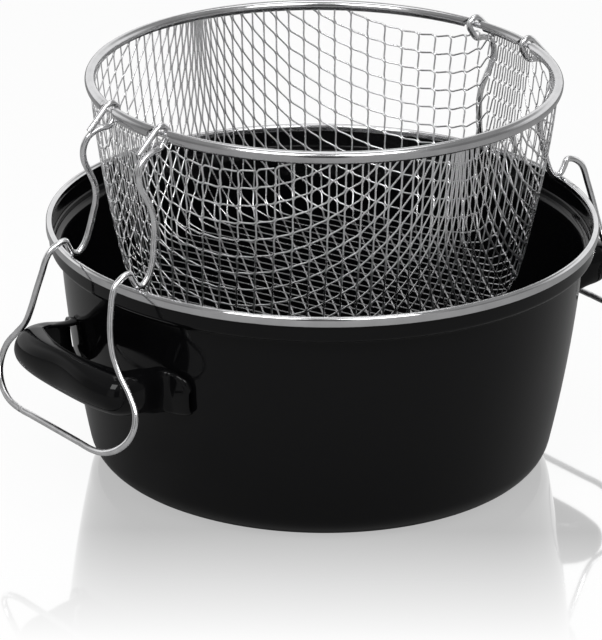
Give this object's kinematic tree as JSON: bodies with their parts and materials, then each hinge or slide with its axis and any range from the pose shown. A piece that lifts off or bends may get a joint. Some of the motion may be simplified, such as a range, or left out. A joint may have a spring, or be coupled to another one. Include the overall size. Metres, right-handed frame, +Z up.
{
  "type": "fry pot with basket",
  "caption": "Deep enamelled pot with two strap handles and a drawn expanded-metal basket that hooks over its rim by two swinging wire bails.",
  "frame": {"origin": "centre of the pot's flat base, on the surface that the pot stands on", "axes": "+Z up along the pot's axis; X along the line of the two side handles and the two bails, -X towards the handle at the front left of the picture"},
  "size_m": [0.3, 0.252, 0.1867],
  "materials": {
    "black_enamel": "glossy black vitreous enamel",
    "trim_steel": "polished stainless steel, rolled",
    "band_steel": "bright rolled steel sheet",
    "bright_wire": "bright drawn steel wire",
    "net_steel": "bright expanded steel, strands slightly rough at the cut edges"
  },
  "bodies": {
    "pot": {"pot_shell": "black_enamel", "rim_trim": "trim_steel", "side_handle_left": "black_enamel", "side_handle_right": "black_enamel"},
    "basket": {"basket_net": "net_steel", "basket_ring": "bright_wire", "rim_band_front": "band_steel", "rim_band_back": "band_steel", "rim_band_left": "band_steel", "rim_band_right": "band_steel"},
    "bail_left": {"bail_left": "bright_wire"},
    "bail_right": {"bail_right": "bright_wire"}
  },
  "joints": [
    {"name": "basket_lift", "type": "slide", "parent": "pot", "child": "basket", "axis": [0, 0, 1], "range_m": [0, 0.14]},
    {"name": "bail_right_swing", "type": "hinge", "parent": "basket", "child": "bail_right", "pos_m": [0.10367, 0, 0.1818], "axis": [0, -1, 0], "range_deg": [0, 205]},
    {"name": "bail_left_swing", "type": "hinge", "parent": "basket", "child": "bail_left", "pos_m": [-0.10367, 0, 0.1818], "axis": [0, 1, 0], "range_deg": [0, 205]}
  ]
}
